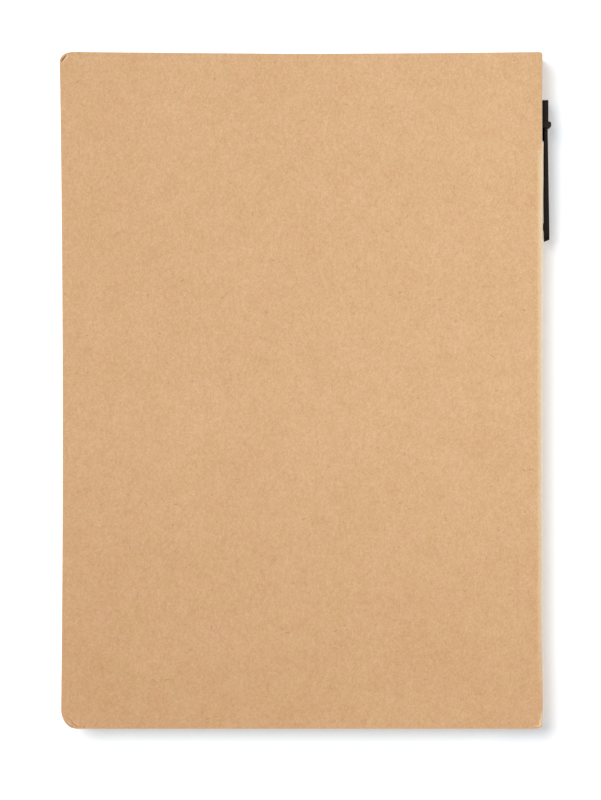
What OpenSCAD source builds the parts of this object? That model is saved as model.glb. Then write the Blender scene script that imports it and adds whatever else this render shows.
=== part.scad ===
// A5 notebook in a wraparound kraft card cover, with a push-button ball pen in the spine.
// It lies closed on its front cover: X across the book, Y from foot to head, Z up.

/* [Cover] */
// Width of the closed cover, from the fore edge to the spine
cover_w = 150; // [120:1:200]
// Height of the cover, from foot to head
cover_h = 210; // [190:1:300]
// Thickness of the card
card_t = 0.8; // [0.5:0.1:1]
// Radius outside each of the two folds along the spine
fold_r = 1.5; // [1.2:0.1:2]
// How far the spine bows out over the pen
spine_bow = 0.35; // [0.2:0.05:0.8]
// Radius of the fore-edge corner at the head
head_corner_r = 3.2; // [1:0.1:10]
// Radius of the fore-edge corner at the foot
foot_corner_r = 5.3; // [1:0.1:10]

/* [Pages] */
// Thickness of the glued pages
page_t = 11.3; // [11.2:0.1:18]
// How far the pages stay inside the head, the foot and the fore edge of the cover
page_inset = 2; // [1:0.5:6]
// Radius of the fore-edge corners of the pages
page_corner_r = 4; // [1:0.5:10]
// Play between the pages and the cover that they rest on
page_gap = 0.1; // [0.05:0.05:0.3]
// Width of the pen channel between the pages and the spine
channel_w = 11.5; // [10.5:0.1:18]

/* [Slot] */
// Distance from the head of the cover to the slot for the clip
slot_drop = 14.4; // [12:0.1:30]
// Play between the slot and the sleeve of the pen
slot_gap = 0.3; // [0.2:0.05:0.4]
// Radius of the corners of the slot
slot_corner_r = 1.5; // [0.8:0.1:2.5]

/* [Pen barrel] */
// Outer diameter of the paper barrel
barrel_d = 8; // [7.6:0.1:8.2]
// Wall of the paper barrel
barrel_wall = 0.9; // [0.7:0.05:1]
// Length of the paper barrel
barrel_l = 112; // [110:1:114]
// Gap between the barrel and the inside of the spine
barrel_gap = 0.05; // [0.05:0.01:0.15]
// Length of the tip cone below the barrel
cone_l = 18; // [17:0.5:20]
// Diameter of the tip cone at its mouth
cone_tip_d = 3.8; // [3.4:0.1:4.4]
// Length of the plug that holds the tip cone in the barrel
plug_l = 8; // [5:0.5:10]
// Clearance of the plastic parts glued into or over the barrel
glue_gap = 0.05; // [0.03:0.01:0.08]

/* [Sleeve and clip] */
// Length of the sleeve that shows through the slot
sleeve_l = 12.7; // [11:0.1:14]
// Wall of the sleeve outside the barrel
sleeve_wall = 1.25; // [1.2:0.05:1.3]
// Thickness of the end wall that the button passes through
end_wall = 1.5; // [1.2:0.1:2]
// Radius that rounds the sleeve's rims
sleeve_round = 0.7; // [0.3:0.1:0.9]
// Length of the clip root along the pen
root_l = 8.6; // [6:0.1:9]
// Width of the clip root
root_w = 6; // [5:0.1:6.5]
// How far the clip root stands out from the spine
root_out = 1.85; // [1.8:0.05:2.4]
// How far the raised band on the clip stands out from the spine
band_out = 2.7; // [2.5:0.1:4]
// Height of the raised band, along the pen
band_l = 1.9; // [1:0.1:3]
// How far the raised band stands out from the sides of the clip
band_side = 0.35; // [0.2:0.05:0.5]
// Radius of the outer edges of the raised band
band_round = 0.6; // [0.2:0.1:0.9]
// Length of the clip from the top of its root to its free end
clip_l = 44; // [38:0.1:50]
// Width of the clip at its free end
clip_tip_w = 4.6; // [4:0.1:6]
// Gap between the bowed spine and the inner face of the arm
arm_gap = 0.3; // [0.25:0.05:0.5]
// Thickness of the arm at its root
arm_t_root = 0.95; // [0.8:0.05:1.1]
// Thickness of the arm near its free end
arm_t_tip = 1.6; // [1.2:0.1:2]
// How much further the outer corner of the free end is cut back than the inner one
arm_end_slant = 0.6; // [0.3:0.1:1.5]
// Length of the bump that grips the spine
bump_l = 2.6; // [2:0.1:4]
// Radius of the edges of the bump
bump_r = 0.5; // [0.4:0.05:0.7]
// Distance from the free end to the middle of the bump
bump_back = 4.7; // [3.5:0.1:6]
// Gap between the bump and the bowed spine
bump_gap = 0.05; // [0.03:0.01:0.1]

/* [Push mechanism] */
// Travel of the push button
stroke = 6; // [5:0.1:6]
// Diameter of the push button
button_d = 4; // [3.6:0.1:4.2]
// How far the button stands out of the sleeve
button_out = 8; // [7:0.1:10]
// Radial clearance of the sliding parts
slide_gap = 0.1; // [0.05:0.01:0.1]
// Length of the guide tube below the end wall
guide_l = 22.5; // [20:0.5:26]
// Bore of the guide tube
guide_d = 5.2; // [5:0.1:5.2]
// How far the rotor has passed the ribs at the end of the travel
rib_clear = 0.7; // [0.5:0.1:1]
// Number of ribs around the guide tube
rib_n = 4; // [3:1:4]
// Width of a rib
rib_w = 1.4; // [1:0.1:1.6]
// Width of the fins of the button and the rotor
fin_w = 1.2; // [0.8:0.1:1.4]
// Length of the button inside the sleeve
button_in = 7; // [6:0.1:7.2]
// Length of the cam rotor
rotor_l = 10; // [8:0.5:10]
// Length of the fins of the rotor
rotor_fin_l = 3.6; // [3:0.1:3.8]
// Rise of the sloping cam faces
cam_rise = 0.8; // [0.5:0.1:1]
// Depth of the socket for the refill in the rotor
socket_l = 5; // [4:0.5:6]

/* [Refill] */
// Outer diameter of the refill tube
refill_d = 3; // [2.8:0.1:3.1]
// Wall of the refill tube
refill_wall = 0.45; // [0.3:0.05:0.5]
// Diameter of the metal nose
nose_d = 2.3; // [2.1:0.1:2.4]
// Length of the nose below the tube
nose_l = 16.8; // [16:0.1:17.5]
// Length of the taper at the end of the nose
nose_taper = 2.6; // [2:0.1:4]
// Length of the plug that holds the nose in the tube
nose_plug_l = 4; // [3:0.5:6]
// Diameter of the writing ball
ball_d = 0.7; // [0.5:0.1:1]
// How far the writing ball sits back inside the mouth of the cone
ball_back = 2; // [1.5:0.1:3]
// Length of the column of ink
ink_l = 68; // [30:1:80]
// Length of the narrow mouth of the cone
mouth_l = 5; // [4:0.5:6]
// Diameter of the spring's wire
wire_d = 0.4; // [0.3:0.05:0.45]
// Number of turns of the spring
spring_turns = 11; // [7:1:13]

/* [Hidden] */
$fn = 64;
// A little more than nothing, for cuts that run out of a solid
cut = 1;

// The whole book is centred on its outline, clip and all
left_x = -(cover_w + band_out) / 2;
spine_x = left_x + cover_w;
spine_in = spine_x - card_t;
book_t = page_t + page_gap + 2 * card_t;
fold_in_r = fold_r - card_t;
spine_flat = book_t - 2 * fold_r;
bow_r = (pow(spine_flat / 2, 2) + pow(spine_bow, 2)) / (2 * spine_bow);
head_y = cover_h / 2;

barrel_r = barrel_d / 2;
barrel_in = barrel_r - barrel_wall;
pen_x = spine_in + spine_bow - barrel_gap - barrel_r;
pen_z = book_t / 2;
sleeve_r = barrel_r + sleeve_wall;
sleeve_top = head_y - slot_drop - slot_gap;
sleeve_end = sleeve_top - sleeve_l;
barrel_top = sleeve_top - end_wall;
barrel_end = barrel_top - barrel_l;
cone_end = barrel_end - cone_l;
// Half the sleeve's chord at the inside of the spine sets the width of the slot
slot_half = sqrt(pow(sleeve_r, 2) - pow(spine_in - pen_x, 2)) + slot_gap;

// The clip is drawn from the pen's own axis
face = spine_x - pen_x;
clip_end = sleeve_top - clip_l;
root_end = sleeve_top - root_l;
bump_y = clip_end + bump_back;
bump_in = face + spine_bow + bump_gap;
band_r = min(band_round, 0.45 * band_l);
arm_in = face + spine_bow + arm_gap;

button_r = button_d / 2;
button_hole = button_r + slide_gap;
guide_r = guide_d / 2;
fin_r = guide_r - slide_gap;
guide_end = barrel_top - guide_l;
button_end = sleeve_top - button_in - end_wall;
rotor_top = button_end - slide_gap;
rotor_end = rotor_top - rotor_l;
rotor_fin_top = rotor_top - 2 * slide_gap;
rib_end = rotor_fin_top - stroke + rib_clear;
rotor_r = button_r - slide_gap;

refill_r = refill_d / 2;
refill_in = refill_r - refill_wall;
refill_top = rotor_end + socket_l;
nose_r = nose_d / 2;
ball_y = cone_end + ball_back + ball_d / 2;
refill_end = ball_y + nose_l;
mouth_r = nose_r + slide_gap;
wire_r = wire_d / 2;
coil_r = nose_r + 2 * slide_gap + wire_r;
spring_bore = coil_r + wire_r + 2 * slide_gap;
spring_seat = cone_end + mouth_l;
spring_l = refill_end - spring_seat - 2 * slide_gap;

// Profile in X and Z, drawn along the whole height of the cover
module along_cover() {
    rotate([90, 0, 0]) linear_extrude(cover_h, center = true) children();
}

// Half of a fold: the part of the bend from angle a to a + 45 degrees, round the fold's middle
module half_fold(middle_z, a) {
    translate([spine_x - fold_r, middle_z]) intersection() {
        difference() {
            circle(r = fold_r);
            circle(r = fold_in_r);
        }
        rotate(a) polygon([[0, 0], [2 * fold_r, 0], [2 * fold_r, 2 * fold_r]]);
    }
}

// What a rounded corner takes away from a square one that points to the lower left
module corner_waste(r) {
    difference() {
        translate([-cut, -cut]) square(r + cut);
        translate([r, r]) circle(r = r);
    }
}

module fore_edge_corners(w, h, head_r, foot_r) {
    translate([-w, -h / 2]) corner_waste(foot_r);
    translate([-w, h / 2]) mirror([0, 1]) corner_waste(head_r);
}

// One panel of the cover, from the fore edge to the middle of its fold
module cover_panel(z, fold_z, fold_a) {
    difference() {
        along_cover() {
            translate([left_x, z]) square([cover_w - fold_r, card_t]);
            half_fold(fold_z, fold_a);
        }
        translate([spine_x, 0, z - cut]) linear_extrude(card_t + 2 * cut)
            fore_edge_corners(cover_w, cover_h, head_corner_r, foot_corner_r);
    }
}

module front_cover() {
    color("burlywood") cover_panel(0, fold_r, 270);
}

module back_cover() {
    color("burlywood") cover_panel(book_t - card_t, book_t - fold_r, 45);
}

// Section of the spine between its folds, bowed out over the pen
module spine_section() {
    intersection() {
        translate([spine_x + spine_bow - bow_r, book_t / 2]) difference() {
            circle(r = bow_r, $fn = 200);
            circle(r = bow_r - card_t, $fn = 200);
        }
        translate([spine_x - fold_r, fold_r]) square([2 * fold_r + spine_bow, spine_flat]);
    }
    half_fold(fold_r, 315);
    half_fold(book_t - fold_r, 0);
}

// The slot's outline, with its middle at the origin
module slot_outline() {
    l = sleeve_l + 2 * slot_gap;
    difference() {
        square([2 * slot_half, l], center = true);
        for (a = [0, 1], b = [0, 1]) mirror([a, 0]) mirror([0, b])
            translate([-slot_half, -l / 2]) corner_waste(slot_corner_r);
    }
}

module spine_panel() {
    color("burlywood") difference() {
        along_cover() spine_section();
        translate([spine_x, (sleeve_top + sleeve_end) / 2, pen_z]) rotate([0, 90, 0])
            linear_extrude(2 * fold_r + 2, center = true) slot_outline();
    }
}

module page_block() {
    w = cover_w - page_inset - card_t - channel_w;
    h = cover_h - 2 * page_inset;
    color("ivory") translate([spine_in - channel_w, 0, card_t + page_gap]) linear_extrude(page_t)
        difference() {
            translate([-w, -h / 2]) square([w, h]);
            fore_edge_corners(w, h, page_corner_r, page_corner_r);
        }
}

// Everything of the pen is drawn upright, with Z as the book's Y, and laid in the channel
module in_channel() {
    translate([pen_x, 0, pen_z]) rotate([-90, 0, 0]) children();
}

// A ring of fins from z0 to z1, with their lower ends sloping where rise is not 0
module fins(n, w, r0, r1, z0, z1, low_rise, top_rise) {
    intersection() {
        translate([0, 0, z0 - cut]) difference() {
            cylinder(r = r1, h = z1 - z0 + 2 * cut);
            translate([0, 0, -cut]) cylinder(r = r0, h = z1 - z0 + 4 * cut);
        }
        for (i = [0:n - 1]) rotate(i * 360 / n) rotate([90, 0, 0]) linear_extrude(r1 + cut)
            polygon([[-w / 2, z0 + low_rise], [w / 2, z0], [w / 2, z1 - top_rise], [-w / 2, z1]]);
    }
}

module pen_barrel() {
    color("tan") in_channel() translate([0, 0, barrel_end]) difference() {
        cylinder(r = barrel_r, h = barrel_l);
        translate([0, 0, -cut]) cylinder(r = barrel_in, h = barrel_l + 2 * cut);
    }
}

// The sleeve with its rims rounded, before it is bored
module sleeve_body() {
    rotate_extrude() {
        translate([0, sleeve_end]) square([sleeve_r - sleeve_round, sleeve_l]);
        translate([0, sleeve_end + sleeve_round]) square([sleeve_r, sleeve_l - 2 * sleeve_round]);
        for (z = [sleeve_end + sleeve_round, sleeve_top - sleeve_round])
            translate([sleeve_r - sleeve_round, z]) circle(r = sleeve_round);
    }
}

// Side view of the clip: its root through the slot, the raised band round it and the long arm
module clip_profile() {
    translate([0, root_end]) square([face + root_out, root_l]);
    translate([face, root_end]) square([band_out - band_r, band_l]);
    translate([face, root_end + band_r]) square([band_out, band_l - 2 * band_r]);
    for (z = [root_end + band_r, root_end + band_l - band_r])
        translate([face + band_out - band_r, z]) circle(r = band_r);
    polygon([
        [arm_in, root_end + band_l], [arm_in, clip_end],
        [arm_in + arm_t_tip, clip_end + arm_end_slant], [arm_in + arm_t_root, root_end + band_l]]);
    translate([bump_in, bump_y - bump_l / 2 + bump_r]) square([2 * bump_r, bump_l - 2 * bump_r]);
    for (side = [-1, 1])
        translate([bump_in + bump_r, bump_y + side * (bump_l / 2 - bump_r)]) circle(r = bump_r);
}

// Front view of the clip, which narrows to a round end
module clip_face() {
    tip_r = clip_tip_w / 2;
    translate([0, clip_end + tip_r]) circle(r = tip_r);
    polygon([[-tip_r, clip_end + tip_r], [tip_r, clip_end + tip_r], [root_w / 2, root_end],
        [root_w / 2, sleeve_top], [-root_w / 2, sleeve_top], [-root_w / 2, root_end]]);
    translate([-root_w / 2 - band_side, root_end]) square([root_w + 2 * band_side, band_l]);
}

module clip() {
    intersection() {
        rotate([90, 0, 0]) linear_extrude(2 * root_w, center = true) clip_profile();
        rotate([90, 0, 90]) linear_extrude(face + 2 * band_out) clip_face();
    }
}

module clip_sleeve() {
    color("dimgray") in_channel() {
        difference() {
            union() {
                sleeve_body();
                clip();
            }
            translate([0, 0, sleeve_end - cut])
                cylinder(r = barrel_r + glue_gap, h = barrel_top - sleeve_end + cut);
            translate([0, 0, sleeve_end]) cylinder(r = button_hole, h = sleeve_l + cut);
        }
        translate([0, 0, guide_end]) difference() {
            cylinder(r = barrel_in - glue_gap, h = guide_l + end_wall / 2);
            translate([0, 0, -cut]) cylinder(r = guide_r, h = guide_l + cut);
            cylinder(r = button_hole, h = guide_l + end_wall);
        }
        fins(rib_n, rib_w, button_hole, guide_r + glue_gap, rib_end, barrel_top + cut / 4, cam_rise, 0);
    }
}

module tip_cone() {
    color("dimgray") in_channel() difference() {
        union() {
            translate([0, 0, cone_end]) cylinder(r1 = cone_tip_d / 2, r2 = barrel_r, h = cone_l);
            translate([0, 0, barrel_end - cut]) cylinder(r = barrel_in - glue_gap, h = plug_l + cut);
        }
        translate([0, 0, cone_end - cut]) cylinder(r = mouth_r, h = mouth_l + 2 * cut);
        translate([0, 0, spring_seat]) cylinder(r = spring_bore, h = cone_l + plug_l);
    }
}

// Turns the fins of the button and the rotor into the grooves between the ribs
module between_ribs() {
    rotate(180 / rib_n) children();
}

module push_button() {
    color("dimgray") in_channel() {
        translate([0, 0, button_end])
            cylinder(r = button_r, h = sleeve_top + button_out - button_r - button_end);
        translate([0, 0, sleeve_top + button_out - button_r]) intersection() {
            sphere(r = button_r);
            cylinder(r = 2 * button_r, h = button_r);
        }
        between_ribs()
            fins(rib_n, fin_w, button_r - cut, fin_r, button_end, barrel_top - 2 * slide_gap, 0, 0);
    }
}

module cam_rotor() {
    color("gainsboro") in_channel() difference() {
        union() {
            translate([0, 0, rotor_end]) cylinder(r = rotor_r, h = rotor_l);
            between_ribs()
                fins(rib_n, fin_w, rotor_r - cut, fin_r, rotor_fin_top - rotor_fin_l, rotor_fin_top, 0,
                    cam_rise);
        }
        translate([0, 0, rotor_end - cut]) cylinder(r = refill_r, h = socket_l + cut);
    }
}

module refill_tube() {
    color("whitesmoke") in_channel() translate([0, 0, refill_end]) difference() {
        cylinder(r = refill_r, h = refill_top - refill_end);
        translate([0, 0, -cut]) cylinder(r = refill_in, h = refill_top - refill_end + 2 * cut);
    }
}

module refill_point() {
    taper_top = ball_y + nose_taper;
    color("goldenrod") in_channel() difference() {
        union() {
            translate([0, 0, refill_end]) cylinder(r = refill_in, h = nose_plug_l);
            translate([0, 0, taper_top]) cylinder(r = nose_r, h = refill_end - taper_top);
            translate([0, 0, ball_y]) cylinder(r1 = ball_d / 2 + slide_gap, r2 = nose_r, h = nose_taper);
        }
        translate([0, 0, ball_y]) sphere(r = ball_d / 2);
        translate([0, 0, ball_y]) cylinder(r = ball_d / 4, h = nose_l + nose_plug_l + cut);
    }
}

module writing_ball() {
    color("silver") in_channel() translate([0, 0, ball_y]) sphere(r = ball_d / 2);
}

module ink() {
    color("midnightblue") in_channel() translate([0, 0, refill_end + nose_plug_l])
        cylinder(r = refill_in, h = ink_l);
}

// Height of the wire after t turns: the first and the last turn are closed
function coil_z(t, rise) = wire_r + wire_d * (min(t, 1) + max(t - spring_turns + 1, 0))
    + rise * min(max(t - 1, 0), spring_turns - 2);

module refill_spring() {
    sides = 8;
    steps = 18;
    last = spring_turns * steps;
    rise = (spring_l - 3 * wire_d) / (spring_turns - 2);
    points = [for (i = [0:last], k = [0:sides - 1])
        let (a = 360 * i / steps, b = 360 * k / sides, r = coil_r + wire_r * cos(b))
        [r * cos(a), r * sin(a), coil_z(i / steps, rise) + wire_r * sin(b)]];
    skin = [for (i = [0:last - 1], k = [0:sides - 1])
        let (m = (k + 1) % sides)
        [i * sides + k, i * sides + m, (i + 1) * sides + m, (i + 1) * sides + k]];
    first_end = [for (k = [0:sides - 1]) sides - 1 - k];
    last_end = [for (k = [0:sides - 1]) last * sides + k];
    color("silver") in_channel() translate([0, 0, spring_seat + slide_gap])
        polyhedron(points, concat(skin, [first_end, last_end]), convexity = 10);
}

front_cover();
spine_panel();
back_cover();
page_block();
pen_barrel();
clip_sleeve();
tip_cone();
push_button();
cam_rotor();
refill_tube();
refill_point();
writing_ball();
ink();
refill_spring();
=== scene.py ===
import math
import random

import bpy
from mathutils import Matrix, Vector


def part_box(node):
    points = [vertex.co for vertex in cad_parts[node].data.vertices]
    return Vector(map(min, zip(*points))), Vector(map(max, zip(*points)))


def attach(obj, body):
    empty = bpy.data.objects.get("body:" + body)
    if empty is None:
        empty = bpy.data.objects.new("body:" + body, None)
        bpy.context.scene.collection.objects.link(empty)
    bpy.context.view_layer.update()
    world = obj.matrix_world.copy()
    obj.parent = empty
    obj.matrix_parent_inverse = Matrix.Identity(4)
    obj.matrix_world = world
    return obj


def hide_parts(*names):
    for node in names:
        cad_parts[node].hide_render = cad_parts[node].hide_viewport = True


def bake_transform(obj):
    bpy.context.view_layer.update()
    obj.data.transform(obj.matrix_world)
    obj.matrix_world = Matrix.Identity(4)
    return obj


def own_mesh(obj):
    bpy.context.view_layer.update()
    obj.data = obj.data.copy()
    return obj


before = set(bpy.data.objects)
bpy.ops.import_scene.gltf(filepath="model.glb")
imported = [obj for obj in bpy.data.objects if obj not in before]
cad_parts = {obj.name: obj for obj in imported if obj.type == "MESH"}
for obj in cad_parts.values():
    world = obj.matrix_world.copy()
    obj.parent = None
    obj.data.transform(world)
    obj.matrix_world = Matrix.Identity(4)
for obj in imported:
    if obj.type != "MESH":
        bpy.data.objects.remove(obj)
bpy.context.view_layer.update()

MM = 0.001
RANDOM_SEED = 7

# The photograph's frame, and the size of its pixels at the level of the back cover
IMAGE_W = 601
IMAGE_H = 800
PIXEL = 0.3102 * MM
# Pixel at which the middle of the cover lies
COVER_PIXEL_X = 301.4
COVER_PIXEL_Y = 390.3
CAMERA_HEIGHT = 1.2
SENSOR = 24

# The cover, as in the solids
COVER_W = 150 * MM
CARD = 0.8 * MM
back_low, back_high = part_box("back_cover")
pages_low, pages_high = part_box("page_block")
sleeve_low, sleeve_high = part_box("clip_sleeve")
spring_low, spring_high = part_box("refill_spring")
barrel_low, barrel_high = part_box("pen_barrel")
LEFT = back_low.x
SPINE = LEFT + COVER_W
MIDDLE_X = (LEFT + SPINE) / 2
HEAD = back_high.y
TOP = back_high.z
MIDDLE_Z = TOP / 2
PEN_X = (barrel_low.x + barrel_high.x) / 2

# How far the fore edge is drawn in half way up, and how that changes towards head and foot
FORE_IN = 0.94 * MM
FORE_LEAN = 0.20 * MM
FORE_BOW = 0.74 * MM
# How far the head's edge is drawn in at its middle, and how sharply on the left and on the right
HEAD_DIP = 0.64 * MM
HEAD_DIP_LEFT = 0.97
HEAD_DIP_RIGHT = 0.67
# Height and reach of the curl in the corners of the back cover's fore edge
HEAD_CURL = (0.5 * MM, 14 * MM)
FOOT_CURL = (0.3 * MM, 12 * MM)
# How far the rounded corners of the fore edge reach, across and along the book
HEAD_CORNER = Vector((4.0, 3.2)) * MM
FOOT_CORNER = Vector((4.8, 6.3)) * MM
# How far the ends of the folds are worn round, across and along the book
HEAD_WEAR = Vector((1.3, 0.9)) * MM
FOOT_WEAR = Vector((2.7, 0.85)) * MM
# The fold is crisp beside the slot and rounder below it, with a smallest radius on its inside
FOLD_INSIDE = 0.12 * MM
FOLD_CRISP = 0.7 * MM
FOLD_ROUND = 1.5 * MM
FOLD_KNOTS = [(-105, FOLD_CRISP), (-96, 1.0 * MM), (-78, FOLD_ROUND), (72, FOLD_ROUND), (77, FOLD_CRISP),
              (105, FOLD_CRISP)]
# How far the spine bows out over the pen
BOW_KNOTS = [(-105, 0.15 * MM), (-70, 0.25 * MM), (0, 0.35 * MM), (30, 0.45 * MM), (44, 0.62 * MM),
             (52, 0.7 * MM), (60, 0.8 * MM), (66, 0.93 * MM), (77, 0.93 * MM), (77.5, 0.35 * MM),
             (105, 0.2 * MM)]
# How far the spine's face is drawn in along the fold
FACE_KNOTS = [(-105, 0.26 * MM), (-97, 0.02 * MM), (-89, 0.02 * MM), (-76, 0.28 * MM), (-20, 0.39 * MM),
              (40, 0.35 * MM), (88, 0.31 * MM), (98, 0.24 * MM), (105, 0.17 * MM)]

# The slot in the spine
SLEEVE_LENGTH = 12.7 * MM
SLOT_GAP = 0.3 * MM
SLOT_CORNER = 1.5 * MM
SLOT_LENGTH = SLEEVE_LENGTH + 2 * SLOT_GAP
SLOT_MIDDLE = sleeve_high.y - SLEEVE_LENGTH / 2
SLEEVE_R = (sleeve_high.z - sleeve_low.z) / 2
SLOT_HALF = math.sqrt(SLEEVE_R ** 2 - (SPINE - CARD - PEN_X) ** 2) + SLOT_GAP

# The clip's free end, and the raised band round its root
CLIP_END = sleeve_high.y - 44 * MM
BAND_LOW = sleeve_high.y - 8.6 * MM
BAND_HIGH = sleeve_high.y - 6.7 * MM

# Where the inside of the card lies in the card's pattern, away from the marks of the outside
INSIDE = 1.0

LEAVES = 96
LEAF_JITTER = 0.12 * MM
PAGE_CORNER = 4 * MM


def smooth(a, b, x):
    """0 before a, 1 after b, and a smooth step between them."""
    t = min(1, max(0, (x - a) / (b - a)))
    return t * t * (3 - 2 * t)


def along(knots, y):
    """Value at y, in metres, of knots that are placed in millimetres."""
    for (y0, v0), (y1, v1) in zip(knots, knots[1:]):
        if y <= y1 * MM:
            return v0 + (v1 - v0) * smooth(y0 * MM, y1 * MM, y)
    return knots[-1][1]


def linear(r, g, b):
    """Scene colour of an sRGB colour from 0 to 255."""
    def channel(c):
        c /= 255
        return c / 12.92 if c <= 0.04045 else ((c + 0.055) / 1.055) ** 2.4
    return (channel(r), channel(g), channel(b), 1)


# Outline of the cover, which is drawn in a little along each edge but the foot

def fore_edge(y):
    """X of the fore edge at y, with its rounded corners."""
    u = y / HEAD
    x = LEFT + FORE_IN - FORE_LEAN * u - FORE_BOW * u * u
    corner = HEAD_CORNER if y > 0 else FOOT_CORNER
    near = min(1, max(0, 1 - (HEAD - abs(y)) / corner.y))
    return x + corner.x * (1 - math.sqrt(1 - near * near))


def fold_edge(y):
    """X of the spine's face beside the fold at y."""
    return SPINE - along(FACE_KNOTS, y)


def head_drop(x, y):
    """How far a point of the cover is drawn down towards the foot."""
    v = (x - MIDDLE_X) / (COVER_W / 2)
    near_middle = max(0, 1 - math.sqrt(v * v + 0.002))
    dip = HEAD_DIP * near_middle ** (HEAD_DIP_LEFT if v < 0 else HEAD_DIP_RIGHT)
    return dip * smooth(-HEAD, HEAD, y)


def worn_end(x, y):
    """How far a point near the end of a fold is drawn in towards the middle of the book."""
    wear = HEAD_WEAR if y > 0 else FOOT_WEAR
    near = min(1, max(0, 1 - (fold_edge(y) - x) / wear.x))
    worn = wear.y * (1 - math.sqrt(1 - near * near))
    return math.copysign(worn * smooth(HEAD - 4 * wear.y, HEAD, abs(y)), y)


def corner_lift(x, y):
    """How far the overhanging corners of the back cover curl up."""
    lift = 0
    for corner_y, (height, reach) in ((HEAD, HEAD_CURL), (-HEAD, FOOT_CURL)):
        away = Vector((x - LEFT, y - corner_y)).length
        lift += height * (1 - smooth(0, reach, away))
    return lift


def section(y, radius, depth, columns):
    """Points across the upper half of the cover at y, from the fore edge over the fold to the middle
    of the spine, as (x, z). depth is 0 outside and the card's thickness inside."""
    flat, bend, side = columns
    face = fold_edge(y) - depth
    level = TOP - depth
    r = max(radius - depth, FOLD_INSIDE)
    bow = along(BOW_KNOTS, y)
    start = fore_edge(y)
    points = [(start + (face - r - start) * f, level) for f in flat]
    points += [(face - r + r * math.sin(a), level - r + r * math.cos(a)) for a in bend]
    drop = level - r - MIDDLE_Z
    points += [(face + bow * (1 - (1 - f) ** 2), level - r - drop * f) for f in side]
    return points


def spaced(edge, edge_count, rest_count):
    """Fractions from 0 to 1 that lie close together near 0 and near 1."""
    near = [edge * i / edge_count for i in range(edge_count)]
    far = [1 - f for f in reversed(near)]
    middle = [edge + (1 - 2 * edge) * i / rest_count for i in range(rest_count + 1)]
    return near + middle + far


# Fractions at which the cover's points lie: across its face, round its fold and down the spine
BEND_STEPS = 10
SIDE_STEPS = 8
COLUMNS = (
    spaced(0.035, 12, 40),
    [math.pi / 2 * i / BEND_STEPS for i in range(1, BEND_STEPS)],
    [i / SIDE_STEPS for i in range(SIDE_STEPS + 1)],
)
# Y of the rows of points, with some more where the bow of the spine steps back at the slot's end
SLOT_END = SLOT_MIDDLE - SLOT_LENGTH / 2
STEP_ROWS = [SLOT_END + step * MM for step in (-0.8, -0.3, 0.2, 0.7)]
ROWS = sorted([HEAD * (2 * f - 1) for f in spaced(0.03, 20, 90)] + STEP_ROWS)


def new_mesh(name, points, faces, uvs=None):
    mesh = bpy.data.meshes.new(name)
    mesh.from_pydata(points, [], faces)
    if uvs:
        layer = mesh.uv_layers.new(name="card")
        for loop in mesh.loops:
            layer.data[loop.index].uv = uvs[loop.vertex_index]
    mesh.update()
    piece = bpy.data.objects.new(name, mesh)
    bpy.context.scene.collection.objects.link(piece)
    return piece


def smooth_shade(piece, angle=35):
    """Smooth shading that keeps edges sharper than the angle."""
    bpy.context.view_layer.objects.active = piece
    piece.select_set(True)
    bpy.ops.object.shade_smooth_by_angle(angle=math.radians(angle))
    piece.select_set(False)


def apply_modifiers(piece):
    bpy.context.view_layer.update()
    graph = bpy.context.evaluated_depsgraph_get()
    final = bpy.data.meshes.new_from_object(piece.evaluated_get(graph))
    piece.modifiers.clear()
    piece.data = final


def cover_half(name, upside):
    """Half of the wraparound card: a cover with its fold and half of the spine, as one closed mesh.
    upside is True for the back cover, on top, and False for the front cover, on the table."""
    points, uvs = [], []
    for depth in (0, CARD):
        for y in ROWS:
            radius = along(FOLD_KNOTS, y)
            line = section(y, radius, depth, COLUMNS)
            outside = section(y, radius, 0, COLUMNS)
            run = line[0][0] - LEFT
            for i, (x, z) in enumerate(line):
                if i:
                    run += math.hypot(x - line[i - 1][0], z - line[i - 1][1])
                down = head_drop(x, y) + worn_end(outside[i][0], y)
                lift = corner_lift(x, y) if upside else 0
                points.append((x, y - down, z + lift if upside else TOP - z))
                uvs.append((run + (INSIDE if depth else 0), y))
    wide = sum(len(c) for c in COLUMNS)
    high = len(ROWS)
    layer = wide * high

    def at(side, j, i):
        return side * layer + j * wide + i
    faces = []
    for j in range(high - 1):
        for i in range(wide - 1):
            faces.append((at(0, j, i), at(0, j, i + 1), at(0, j + 1, i + 1), at(0, j + 1, i)))
            faces.append((at(1, j, i), at(1, j + 1, i), at(1, j + 1, i + 1), at(1, j, i + 1)))
    rim = [(0, i) for i in range(wide)] + [(j, wide - 1) for j in range(1, high)]
    rim += [(high - 1, i) for i in range(wide - 2, -1, -1)] + [(j, 0) for j in range(high - 2, 0, -1)]
    for (j0, i0), (j1, i1) in zip(rim, rim[1:] + rim[:1]):
        faces.append((at(0, j1, i1), at(0, j0, i0), at(1, j0, i0), at(1, j1, i1)))
    if not upside:
        faces = [tuple(reversed(f)) for f in faces]
    piece = new_mesh(name, points, faces, uvs)
    for face in piece.data.polygons[2 * (wide - 1) * (high - 1):]:
        face.material_index = 1
    return piece


def rounded_box(name, half, corner, steps=6):
    """A bar along X with rounded edges, as a cutter for the slot. half gives its half sizes."""
    outline = []
    for turn, (sy, sz) in enumerate(((1, 1), (-1, 1), (-1, -1), (1, -1))):
        for i in range(steps + 1):
            a = math.pi / 2 * (turn + i / steps)
            outline.append((sy * (half.y - corner) + corner * math.cos(a),
                            sz * (half.z - corner) + corner * math.sin(a)))
    n = len(outline)
    points = [(x, y, z) for x in (-half.x, half.x) for y, z in outline]
    faces = [(i, (i + 1) % n, n + (i + 1) % n, n + i) for i in range(n)]
    faces += [tuple(range(n - 1, -1, -1)), tuple(range(n, 2 * n))]
    return new_mesh(name, points, faces, [(0, 0)] * len(points))


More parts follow.
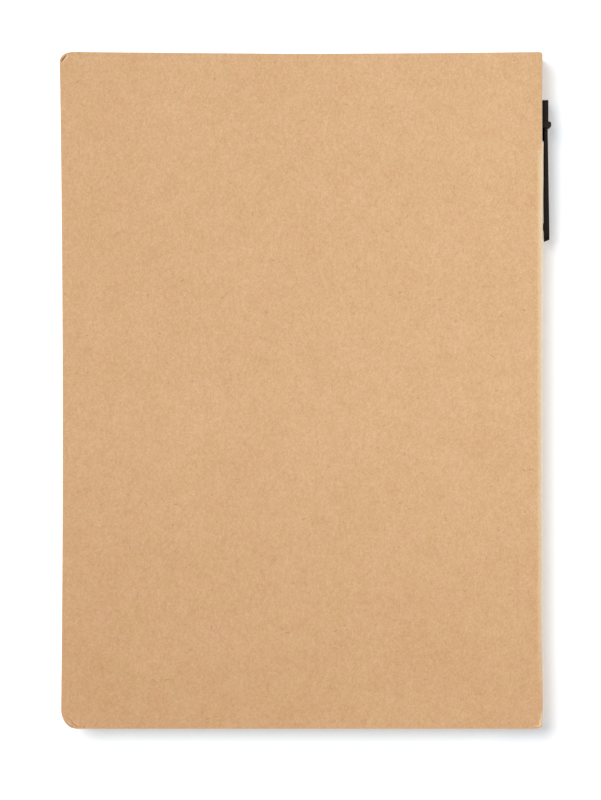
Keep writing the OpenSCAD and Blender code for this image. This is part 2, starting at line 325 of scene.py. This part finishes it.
def cut_slot(piece, rim_material):
    cutter = rounded_box("slot_cutter", Vector((4 * MM, SLOT_LENGTH / 2, SLOT_HALF)), SLOT_CORNER)
    cutter.location = (SPINE, SLOT_MIDDLE, MIDDLE_Z)
    cutter.data.materials.append(rim_material)
    boolean = piece.modifiers.new("slot", "BOOLEAN")
    boolean.object = cutter
    boolean.operation = "DIFFERENCE"
    boolean.solver = "EXACT"
    boolean.material_mode = "TRANSFER"
    apply_modifiers(piece)
    bpy.data.objects.remove(cutter)


def page_outline(inset):
    """Outline of a leaf that lies inset inside the block on its three open sides."""
    right = pages_high.x
    left, low, high = pages_low.x + inset, pages_low.y + inset, pages_high.y - inset
    r = PAGE_CORNER
    along_head, along_fore = 16, 24
    points = [(right, low + (high - low) * i / 4) for i in range(5)]
    points += [(right + (left + r - right) * i / along_head, high) for i in range(1, along_head)]
    points += [(left + r - r * math.sin(a), high - r + r * math.cos(a))
               for a in (math.pi / 2 * i / 8 for i in range(9))]
    points += [(left, high - r + (low - high + 2 * r) * i / along_fore) for i in range(1, along_fore)]
    points += [(left + r - r * math.cos(a), low + r - r * math.sin(a))
               for a in (math.pi / 2 * i / 8 for i in range(9))]
    points += [(left + r + (right - left - r) * i / along_head, low) for i in range(1, along_head)]
    return points


def pages():
    """The block of leaves, each a little out of line with the next."""
    draw = random.Random(RANDOM_SEED)
    thick = (pages_high.z - pages_low.z) / LEAVES
    points = []
    drift = 0
    for leaf in range(LEAVES):
        drift = 0.8 * drift + draw.uniform(-0.3, 0.3) * LEAF_JITTER
        inset = min(2 * LEAF_JITTER, max(0, LEAF_JITTER + drift + draw.uniform(0, 0.5) * LEAF_JITTER))
        outline = page_outline(inset)
        z = pages_low.z + leaf * thick
        gap = 0.12 * thick
        low = z if leaf == 0 else z + gap
        high = z + thick if leaf == LEAVES - 1 else z + thick - gap
        points += [(x, y, low) for x, y in outline] + [(x, y, high) for x, y in outline]
    n = len(page_outline(0))
    faces = [tuple(range(n - 1, -1, -1))]
    for ring in range(2 * LEAVES - 1):
        for i in range(n):
            a, b = ring * n + i, ring * n + (i + 1) % n
            faces.append((a, b, b + n, a + n))
    last = (2 * LEAVES - 1) * n
    faces.append(tuple(range(last, last + n)))
    return new_mesh("pages", points, faces)


def spring():
    """The refill's spring as a round wire, with closed end turns."""
    turns, steps, sides = 11, 32, 10
    wire = 0.2 * MM
    coil = (spring_high.x - spring_low.x) / 2 - wire
    low = spring_low.y + wire
    rise = (spring_high.y - spring_low.y - 6 * wire) / (turns - 2)
    points, faces = [], []
    for i in range(turns * steps + 1):
        t = i / steps
        a = 2 * math.pi * t
        y = low + 2 * wire * (min(t, 1) + max(t - turns + 1, 0)) + rise * min(max(t - 1, 0), turns - 2)
        for k in range(sides):
            b = 2 * math.pi * k / sides
            r = coil + wire * math.cos(b)
            points.append((PEN_X + r * math.cos(a), y + wire * math.sin(b), MIDDLE_Z - r * math.sin(a)))
    for i in range(turns * steps):
        for k in range(sides):
            m = (k + 1) % sides
            faces.append((i * sides + k, i * sides + m, (i + 1) * sides + m, (i + 1) * sides + k))
    last = turns * steps * sides
    faces.append(tuple(range(sides - 1, -1, -1)))
    faces.append(tuple(range(last, last + sides)))
    return new_mesh("spring", points, faces)


class Shader:
    """A material under construction, with short calls for its nodes."""

    def __init__(self, name, roughness=0.5, **values):
        self.material = bpy.data.materials.new(name)
        self.material.use_nodes = True
        self.tree = self.material.node_tree
        self.surface = next(n for n in self.tree.nodes if n.type == "BSDF_PRINCIPLED")
        self.surface.inputs["Roughness"].default_value = roughness
        for key, value in values.items():
            self.surface.inputs[key.replace("_", " ")].default_value = value

    def add(self, kind, inputs=(), **settings):
        node = self.tree.nodes.new(kind)
        for key, value in settings.items():
            setattr(node, key, value)
        for key, value in dict(inputs).items():
            self.put(value, node.inputs[key])
        return node

    def put(self, value, socket):
        if isinstance(value, bpy.types.NodeSocket):
            self.tree.links.new(value, socket)
        elif isinstance(value, tuple):
            socket.default_value = value[:len(socket.default_value)]
        else:
            socket.default_value = value

    def math(self, operation, a, b=0.0):
        return self.add("ShaderNodeMath", {0: a, 1: b}, operation=operation).outputs[0]

    def vector(self, operation, a, b=(0, 0, 0), out=0):
        return self.add("ShaderNodeVectorMath", {0: a, 1: b}, operation=operation).outputs[out]

    def swing(self, value, amount, middle=0.5):
        """How far value lies from middle, times amount."""
        return self.math("MULTIPLY", self.math("SUBTRACT", value, middle), amount)

    def place(self):
        """Place in the shared frame at rest, in millimetres."""
        return self.scale(self.add("ShaderNodeTexCoord").outputs["Object"], 1 / MM)

    def noise(self, where, scale, detail=2.0, roughness=0.5, seed=0.0):
        moved = self.vector("ADD", where, (seed, 1.7 * seed, 0.6 * seed))
        node = self.add("ShaderNodeTexNoise", {"Vector": moved, "Scale": scale, "Detail": detail,
                                               "Roughness": roughness})
        return node.outputs["Fac"]

    def ramp(self, value, low, high, to_low=0.0, to_high=1.0):
        node = self.add("ShaderNodeMapRange", {"Value": value, "From Min": low, "From Max": high,
                                               "To Min": to_low, "To Max": to_high})
        return node.outputs[0]

    def blend(self, share, a, b):
        node = self.add("ShaderNodeMix", data_type="RGBA")
        self.put(share, node.inputs[0])
        self.put(a, node.inputs[6])
        self.put(b, node.inputs[7])
        return node.outputs[2]

    def scale(self, colour, factor):
        node = self.add("ShaderNodeVectorMath", {0: colour, 3: factor}, operation="SCALE")
        return node.outputs[0]

    def finish(self, colour, height, distance=0.00002, strength=0.5, roughness=None, edge=0.0):
        """Links the surface. edge is the radius to which sharp edges are softened in the shading."""
        self.put(colour, self.surface.inputs["Base Color"])
        if roughness is not None:
            self.put(roughness, self.surface.inputs["Roughness"])
        bump = self.add("ShaderNodeBump", {"Height": height, "Distance": distance, "Strength": strength})
        if edge:
            self.put(self.add("ShaderNodeBevel", {"Radius": edge}).outputs[0], bump.inputs["Normal"])
        self.put(bump.outputs[0], self.surface.inputs["Normal"])
        return self.material


def flecks(shader, where, cell, length, width, share, seed):
    """Mask of short fibres that lie at random on the card, one at most in each cell."""
    place = shader.vector("ADD", where, (seed, 2.3 * seed, 0))
    cells = shader.add("ShaderNodeTexVoronoi", {"Vector": place, "Scale": 1 / cell},
                       voronoi_dimensions="2D")
    offset = shader.vector("SUBTRACT", shader.scale(place, 1 / cell),
                           shader.scale(cells.outputs["Position"], 1.0 / cell))
    pick = shader.add("ShaderNodeSeparateColor", {0: cells.outputs["Color"]})
    angle = shader.math("MULTIPLY", pick.outputs[0], 2 * math.pi)
    turned = shader.add("ShaderNodeVectorRotate", {"Vector": offset, "Angle": angle},
                        rotation_type="Z_AXIS")
    grown = shader.ramp(pick.outputs[1], 0, 1, 0.5, 1.5)
    parts = shader.add("ShaderNodeSeparateXYZ", {0: turned.outputs[0]})
    x = shader.math("DIVIDE", shader.math("MULTIPLY", parts.outputs[0], cell / length), grown)
    y = shader.math("MULTIPLY", parts.outputs[1], cell / width)
    far = shader.math("SQRT", shader.math("ADD", shader.math("MULTIPLY", x, x),
                                          shader.math("MULTIPLY", y, y)))
    inside = shader.ramp(far, 1.1, 0.5)
    present = shader.math("LESS_THAN", pick.outputs[2], share)
    return shader.math("MULTIPLY", inside, present)


def line_mask(shader, where, start, end, width, ragged):
    """Mask of a line from start to end, in millimetres on the card, with tapered ends. ragged
    makes it wider or narrower from place to place."""
    a = Vector((*start, 0))
    b = Vector((*end, 0))
    run = b - a
    flat = shader.vector("MULTIPLY", where, (1, 1, 0))
    local = shader.vector("SUBTRACT", flat, tuple(a))
    share = shader.math("DIVIDE", shader.vector("DOT_PRODUCT", local, tuple(run), out=1),
                        run.length_squared)
    share = shader.math("MAXIMUM", shader.math("MINIMUM", share, 1.0), 0.0)
    nearest = shader.scale(tuple(run), share)
    far = shader.vector("LENGTH", shader.vector("SUBTRACT", local, nearest), out=1)
    from_middle = shader.math("ABSOLUTE", shader.math("SUBTRACT", share, 0.5))
    wide = shader.math("MULTIPLY", ragged, shader.ramp(from_middle, 0.25, 0.5, width, 0.5 * width))
    return shader.ramp(shader.math("DIVIDE", far, wide), 1.0, 0.3)


KRAFT_DARK = linear(206, 158, 108)
KRAFT_LIGHT = linear(238, 199, 157)
# What the pinkish and the yellowish patches of the card do to its colour
PINKISH = (1.0065, 0.991, 1.011)
YELLOWISH = (0.9935, 1.009, 0.989)


def kraft_tones(shader, where):
    """Colour and height of kraft card at a place in millimetres."""
    cloud = shader.noise(where, 0.035, 2.0, seed=3.0)
    blot = shader.noise(where, 0.22, 3.0, seed=11.0)
    long_way = shader.vector("MULTIPLY", where, (1, 0.65, 1))
    fibre = shader.noise(long_way, 0.9, 3.0, 0.6, seed=5.0)
    grain = shader.noise(long_way, 3.0, 1.0, 0.5, seed=8.0)
    tint = shader.ramp(shader.noise(where, 0.17, 3.0, seed=23.0), 0.35, 0.65)
    level = 0.5
    for mask, amount in ((cloud, 0.18), (blot, 0.3), (fibre, 0.56), (grain, 1.0)):
        level = shader.math("ADD", level, shader.swing(mask, amount))
    patch = shader.blend(tint, (*PINKISH, 1), (*YELLOWISH, 1))
    colour = shader.vector("MULTIPLY", shader.blend(level, KRAFT_DARK, KRAFT_LIGHT), patch)
    dark = flecks(shader, where, 5.0, 0.6, 0.16, 0.1, 4.0)
    dots = flecks(shader, where, 3.1, 0.22, 0.16, 0.1, 31.0)
    pale = flecks(shader, where, 6.5, 0.4, 0.2, 0.1, 57.0)
    colour = shader.blend(shader.math("MULTIPLY", dark, 0.45), colour, linear(140, 100, 66))
    colour = shader.blend(shader.math("MULTIPLY", dots, 0.3), colour, linear(140, 100, 66))
    colour = shader.blend(shader.math("MULTIPLY", pale, 0.4), colour, linear(240, 215, 180))
    height = shader.math("ADD", shader.math("MULTIPLY", fibre, 0.6), shader.math("MULTIPLY", grain, 0.4))
    return colour, height


# The run over the card at which the spine begins, and the card's head, in millimetres
FOLD_RUN = COVER_W / MM
HEAD_UP = HEAD / MM
# How far up the card the fold is pale, partly rubbed and partly painted highlight, and how far the
# painted highlight on the side of the spine reaches, with soft ends
FOLD_RUB_AND_HIGHLIGHT_SPAN = ((-96, -70), (77, 72))
SIDE_HIGHLIGHT_SPAN = ((-104, -85), (96, 88))
FOLD_RUB_AND_HIGHLIGHT_COLOUR = linear(255, 229, 189)
SIDE_HIGHLIGHT_COLOUR = linear(255, 230, 190)


def rub_and_highlight(shader, colour, run, up, wear):
    """The fold is pale below the slot, partly rubbed card and partly painted highlight, and the side of
    the spine beside it carries a painted highlight, palest of all. wear sets how strong both are.
    """
    low, high = FOLD_RUB_AND_HIGHLIGHT_SPAN
    # Along the fold: partly rubbed card, partly a painted highlight where the rounded fold catches light
    off = shader.math("ABSOLUTE", shader.math("SUBTRACT", run, FOLD_RUN + 0.8))
    fold = shader.math("MULTIPLY", shader.ramp(off, 2.8, 0.7),
                       shader.math("MULTIPLY", shader.ramp(up, *low), shader.ramp(up, *high)))
    colour = shader.blend(shader.math("MULTIPLY", fold, 0.8 * wear), colour, FOLD_RUB_AND_HIGHLIGHT_COLOUR)
    # On the side of the spine: a painted highlight that makes up for the shade there
    low, high = SIDE_HIGHLIGHT_SPAN
    side = shader.math("MULTIPLY", shader.ramp(run, FOLD_RUN - 0.4, FOLD_RUN + 0.5),
                       shader.ramp(run, FOLD_RUN + 3.4, FOLD_RUN + 1.2))
    side = shader.math("MULTIPLY", side, shader.ramp(up, *low, 0.5, 0.95))
    side = shader.math("MULTIPLY", side, shader.ramp(up, *high, 0.4, 1))
    return shader.blend(shader.math("MULTIPLY", side, wear), colour, SIDE_HIGHLIGHT_COLOUR)


def painted_light_falloff(shader, colour, run, up):
    """Painted shade: the card is a little darker towards the foot and the fore edge, where less light
    falls.
    """
    white = (1, 1, 1, 1)
    foot = shader.blend(shader.ramp(up, -90, -10, 1, 0), white, (0.93, 0.895, 0.87, 1))
    fore = shader.blend(shader.ramp(run, 0, 130, 1, 0), white, (0.925, 0.907, 0.9, 1))
    return shader.vector("MULTIPLY", colour, shader.vector("MULTIPLY", foot, fore))


# Lines near three corners of the back cover: painted shade in the creases of the bent-up corners at the
# head and the foot with painted light on their tips, and pale fraying at the foot of the fold. Each has
# its start and end from the corner in millimetres, its width, its colour and its strength
# Head corner: painted shade in the crease of the bent-up tip, and painted light on the tip
HEAD_CREASE_SHADE_AND_LIGHT = (
    ((0.6, -2.95), (1.95, -1.15), 0.34, linear(96, 60, 34), 0.9),
    ((1.2, -2.95), (2.65, -1.0), 0.36, linear(234, 196, 168), 0.7),
    ((0.75, -2.0), (1.25, -1.45), 0.34, linear(226, 156, 112), 0.6),
)
# Foot corner: painted shade along its crease and outer arc, and painted light on the bent tip
FOOT_CREASE_SHADE_AND_LIGHT = (
    ((1.9, 3.9), (3.8, 2.5), 0.4, linear(170, 132, 90), 0.35),
    ((3.6, 2.35), (5.5, 0.75), 0.4, linear(160, 112, 78), 0.5),
    ((4.0, 2.3), (5.8, 1.15), 0.26, linear(234, 194, 164), 0.65),
    ((2.5, 2.2), (3.5, 1.4), 0.34, linear(236, 192, 150), 0.6),
    ((1.75, 2.35), (3.9, 0.6), 0.24, linear(160, 142, 114), 0.5),
)
FRAYED_FOLD = (
    ((-0.25, 5.0), (-0.7, 2.6), 0.42, linear(246, 220, 174), 0.75),
    ((-0.65, 3.0), (-1.0, 0.6), 0.75, linear(246, 216, 174), 0.7),
    ((-1.0, 0.7), (-2.3, 0.75), 0.3, linear(244, 212, 168), 0.6),
    ((-2.8, 1.3), (-2.5, 0.8), 0.5, linear(236, 200, 160), 0.5),
)
CORNER_MARKS_AND_SHADING = (
    ((0, HEAD_UP), HEAD_CREASE_SHADE_AND_LIGHT),
    ((0, -HEAD_UP), FOOT_CREASE_SHADE_AND_LIGHT),
    ((FOLD_RUN, -HEAD_UP), FRAYED_FOLD),
)


def marks_and_painted_shade(shader, colour, where):
    """Painted shade in the creases of the bent-up corners at the head and the foot, with painted light
    on their tips, and the frayed fold at the foot.
    """
    ragged = shader.ramp(shader.noise(where, 1.6, 2.0, seed=41.0), 0.3, 0.7, 0.6, 1.3)
    for (corner_run, corner_up), marks in CORNER_MARKS_AND_SHADING:
        for start, end, width, shade, strength in marks:
            mask = line_mask(shader, where, (corner_run + start[0], corner_up + start[1]),
                             (corner_run + end[0], corner_up + end[1]), width, ragged)
            colour = shader.blend(shader.math("MULTIPLY", mask, strength), colour, shade)
    return colour


def card_material(name, worn):
    """Kraft card. worn adds the marks of the back cover, partly painted shade and light, and makes the
    painted highlight along the fold stronger. Places on the card are its UV map in millimetres: the run
    from the fore edge over the fold, and the height up the book."""
    shader = Shader(name, 0.82, Specular_IOR_Level=0.25)
    spot = shader.add("ShaderNodeUVMap", uv_map="card").outputs[0]
    where = shader.scale(spot, 1 / MM)
    # The front cover has the pattern of another place on the card
    pattern = where if worn else shader.vector("ADD", where, (0, 600, 0))
    colour, height = kraft_tones(shader, pattern)
    parts = shader.add("ShaderNodeSeparateXYZ", {0: where})
    run, up = parts.outputs[0], parts.outputs[1]
    # Rubbing and painted highlight along the fold, stronger on the back cover
    colour = rub_and_highlight(shader, colour, run, up, wear=1.0 if worn else 0.5)
    # Painted shade towards the foot and the fore edge
    colour = painted_light_falloff(shader, colour, run, up)
    # Marks at the corners, partly painted shade and light
    if worn:
        colour = marks_and_painted_shade(shader, colour, where)
    return shader.finish(colour, height, distance=0.00004, strength=0.35)


def rim_material():
    """The cut edge of the card, with its loose fibres."""
    shader = Shader("card_edge", 0.9, Specular_IOR_Level=0.2)
    where = shader.place()
    flat = shader.vector("MULTIPLY", where, (1, 1, 4))
    layers = shader.noise(flat, 1.1, 3.0, seed=2.0)
    fuzz = shader.noise(where, 5.0, 2.0, seed=9.0)
    level = shader.math("ADD", shader.ramp(layers, 0.3, 0.7, 0.86, 1.08), shader.swing(fuzz, 0.2))
    return shader.finish(shader.scale(linear(205, 168, 128), level), fuzz, 0.00005, 0.6)


def paper_material():
    """Leaves of cream paper, with their lines along the edges of the block."""
    shader = Shader("paper", 0.85, Specular_IOR_Level=0.2)
    where = shader.place()
    layers = shader.noise(shader.vector("MULTIPLY", where, (0.05, 0.05, 8)), 1.0, 2.0, seed=4.0)
    fibre = shader.noise(where, 1.4, 3.0, 0.6, seed=7.0)
    side = shader.add("ShaderNodeSeparateXYZ",
                      {0: shader.add("ShaderNodeNewGeometry").outputs["True Normal"]}).outputs[2]
    edge = shader.math("LESS_THAN", shader.math("ABSOLUTE", side), 0.5)
    level = shader.math("ADD", 1.0, shader.swing(fibre, 0.07))
    shade = shader.swing(layers, 0.5, middle=0.55)
    level = shader.math("ADD", level, shader.math("MULTIPLY", shade, edge))
    return shader.finish(shader.scale(linear(243, 236, 220), level), fibre, 0.00002, 0.3)


def tube_material():
    """Paper tube wound on a slant, of kraft paper."""
    shader = Shader("kraft_tube", 0.8, Specular_IOR_Level=0.25)
    where = shader.place()
    colour, height = kraft_tones(shader, where)
    parts = shader.add("ShaderNodeSeparateXYZ", {0: where})
    turn = shader.math("ARCTAN2", shader.math("SUBTRACT", parts.outputs[2], MIDDLE_Z / MM),
                       shader.math("SUBTRACT", parts.outputs[0], PEN_X / MM))
    pitch = 34.0
    wound = shader.math("ADD", shader.math("DIVIDE", parts.outputs[1], pitch),
                        shader.math("DIVIDE", turn, 2 * math.pi))
    seam = shader.math("ABSOLUTE", shader.math("SUBTRACT", shader.math("FRACT", wound), 0.5))
    mark = shader.ramp(seam, 0.006, 0.002)
    colour = shader.blend(shader.math("MULTIPLY", mark, 0.6), colour, linear(120, 88, 60))
    height = shader.math("SUBTRACT", height, mark)
    return shader.finish(colour, height, distance=0.00006, strength=0.5)


def clip_painted_highlight(shader, where):
    """Painted highlight along the clip: paler towards its root and palest on its raised band, where its
    rounded parts catch the light.
    """
    y = shader.add("ShaderNodeSeparateXYZ", {0: where}).outputs[1]
    root = shader.ramp(y, CLIP_END / MM, BAND_LOW / MM, 0.75, 1.15)
    middle = (BAND_LOW + BAND_HIGH) / 2 / MM
    half = (BAND_HIGH - BAND_LOW) / 2 / MM
    off = shader.math("ABSOLUTE", shader.math("SUBTRACT", y, middle))
    return shader.math("MULTIPLY", root, shader.ramp(off, half - 0.1, half + 0.1, 1.4, 1))


def plastic_material(name, colour, roughness, specular=0.5, shade=None):
    """Moulded plastic with a fine texture and small differences in gloss. shade gives a brightness
    for each place, which paints light onto the plastic."""
    shader = Shader(name, roughness, Specular_IOR_Level=specular)
    where = shader.place()
    fine = shader.noise(where, 6.0, 2.0, seed=6.0)
    broad = shader.noise(where, 0.5, 2.0, seed=13.0)
    gloss = shader.ramp(broad, 0.3, 0.7, roughness - 0.06, roughness + 0.08)
    tone = shader.scale(colour, shader.ramp(fine, 0.3, 0.7, 0.85, 1.15))
    # Painted light from the shade function
    if shade:
        tone = shader.scale(tone, shade(shader, where))
    return shader.finish(tone, fine, 0.00001, 0.4, gloss, edge=0.25 * MM)


def metal_material(name, colour, roughness, squeeze):
    """Drawn or turned metal, with fine lines across the given direction."""
    shader = Shader(name, roughness, Metallic=1.0)
    where = shader.place()
    lines = shader.noise(shader.vector("MULTIPLY", where, squeeze), 3.0, 2.0, seed=3.0)
    gloss = shader.ramp(lines, 0.3, 0.7, roughness - 0.06, roughness + 0.1)
    return shader.finish(shader.scale(colour, shader.ramp(lines, 0.3, 0.7, 0.92, 1.05)),
                         lines, 0.000005, 0.4, gloss)


def dress(node, material, bevel=0.0):
    """Gives a solid its material, and softens its edges where bevel is not 0."""
    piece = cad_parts[node]
    if piece.material_slots:
        piece.material_slots[0].material = material
    else:
        piece.data.materials.append(material)
    if bevel:
        edge = piece.modifiers.new("soft_edges", "BEVEL")
        edge.width = bevel
        edge.segments = 2
        edge.limit_method = "ANGLE"
        edge.angle_limit = math.radians(40)
        edge.harden_normals = True


def build_covers():
    rim = rim_material()
    halves = (
        ("back_card", True, "back", "back_cover", "kraft_card_back"),
        ("front_card", False, "front", "front_cover", "kraft_card_front"),
    )
    for name, upside, body, node, look in halves:
        piece = cover_half(name, upside)
        piece.data.materials.append(card_material(look, worn=upside))
        piece.data.materials.append(rim)
        cut_slot(piece, rim)
        smooth_shade(piece)
        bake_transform(piece)
        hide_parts(node, "spine_panel")


def build_pages():
    piece = pages()
    piece.data.materials.append(paper_material())
    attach(piece, "back")
    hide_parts("page_block")


BLACK = linear(28, 23, 20)


def build_pen():
    black = plastic_material("black_plastic", BLACK, 0.5, 0.08)
    # The clip's copy carries a painted highlight towards its root and on its raised band
    clip = plastic_material("black_plastic_clip_highlit", BLACK, 0.5, 0.08, clip_painted_highlight)
    pale = plastic_material("pale_plastic", linear(228, 228, 224), 0.3)
    steel = metal_material("steel", linear(205, 205, 208), 0.25, (1, 4, 1))
    dress("pen_barrel", tube_material(), 0.15 * MM)
    dress("clip_sleeve", clip, 0.15 * MM)
    dress("tip_cone", black, 0.15 * MM)
    dress("push_button", black, 0.1 * MM)
    dress("cam_rotor", pale)
    dress("refill_tube", pale)
    dress("refill_point", metal_material("brass", linear(214, 178, 104), 0.22, (0.2, 6, 0.2)))
    dress("writing_ball", steel)
    dress("ink", plastic_material("ink", linear(20, 26, 70), 0.15))
    coil = spring()
    coil.data.materials.append(steel)
    smooth_shade(coil, 60)
    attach(coil, "spine")
    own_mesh(coil)
    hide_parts("refill_spring")


def build_camera():
    camera = bpy.data.cameras.new("camera")
    camera.sensor_fit = "VERTICAL"
    camera.sensor_height = SENSOR
    camera.lens = SENSOR * CAMERA_HEIGHT / (IMAGE_H * PIXEL)
    camera.clip_end = 20
    holder = bpy.data.objects.new("camera", camera)
    holder.location = (MIDDLE_X + (IMAGE_W / 2 - COVER_PIXEL_X) * PIXEL,
                       (COVER_PIXEL_Y - IMAGE_H / 2) * PIXEL, TOP + CAMERA_HEIGHT)
    bpy.context.scene.collection.objects.link(holder)
    bpy.context.scene.camera = holder


def white_to_camera(tree):
    """1 for rays on which the background should look white, as a socket of tree."""
    path = tree.nodes.new("ShaderNodeLightPath")
    last = path.outputs["Is Camera Ray"]
    for name in ("Is Glossy Ray", "Is Transmission Ray"):
        either = tree.nodes.new("ShaderNodeMath")
        either.operation = "MAXIMUM"
        tree.links.new(last, either.inputs[0])
        tree.links.new(path.outputs[name], either.inputs[1])
        last = either.outputs[0]
    return last


SKY = 0.3
# Half the width of the floor
FLOOR_HALF = 3
# The floor is a little cool, which evens out the warm light that the card throws on it
FLOOR_COLOUR = (0.87, 0.908, 0.945, 1)
FLOOR_GLOW = 0.305


def build_world():
    world = bpy.data.worlds.new("world")
    bpy.context.scene.world = world
    world.use_nodes = True
    tree = world.node_tree
    background = next(n for n in tree.nodes if n.type == "BACKGROUND")
    background.inputs["Color"].default_value = (1, 1, 1, 1)
    level = tree.nodes.new("ShaderNodeMapRange")
    level.inputs["To Min"].default_value = SKY
    level.inputs["To Max"].default_value = 1
    tree.links.new(white_to_camera(tree), level.inputs["Value"])
    tree.links.new(level.outputs[0], background.inputs["Strength"])


def build_floor():
    corners = [(x * FLOOR_HALF, y * FLOOR_HALF, 0) for x, y in ((-1, -1), (1, -1), (1, 1), (-1, 1))]
    floor = new_mesh("floor", corners, [(0, 1, 2, 3)])
    material = bpy.data.materials.new("floor")
    material.use_nodes = True
    tree = material.node_tree
    surface = next(n for n in tree.nodes if n.type == "BSDF_PRINCIPLED")
    surface.inputs["Base Color"].default_value = FLOOR_COLOUR
    surface.inputs["Roughness"].default_value = 1
    surface.inputs["Specular IOR Level"].default_value = 0
    surface.inputs["Emission Color"].default_value = (1, 1, 1, 1)
    glow = tree.nodes.new("ShaderNodeMath")
    glow.operation = "MULTIPLY"
    glow.inputs[1].default_value = FLOOR_GLOW
    tree.links.new(white_to_camera(tree), glow.inputs[0])
    tree.links.new(glow.outputs[0], surface.inputs["Emission Strength"])
    floor.data.materials.append(material)


def area_light(name, place, size, power, colour=(1, 1, 1)):
    light = bpy.data.lights.new(name, "AREA")
    light.shape = "DISK"
    light.size = size
    light.energy = power
    light.color = colour
    holder = bpy.data.objects.new(name, light)
    holder.location = place
    holder.rotation_euler = Vector(place).to_track_quat("Z", "Y").to_euler()
    bpy.context.scene.collection.objects.link(holder)


def build_light():
    area_light("key", (-1.5, 1.12, 4.0), size=2.3, power=147.0)
    # Low and a little cool, so that the warm light from the spine tints the floor less
    area_light("side", (1.2, 0.12, 0.13), size=0.22, power=5.3, colour=(0.82, 0.9, 1.0))


build_camera()
build_covers()
build_pages()
build_pen()
build_world()
build_floor()
build_light()
bpy.context.scene.view_settings.view_transform = "Standard"

bpy.context.view_layer.update()
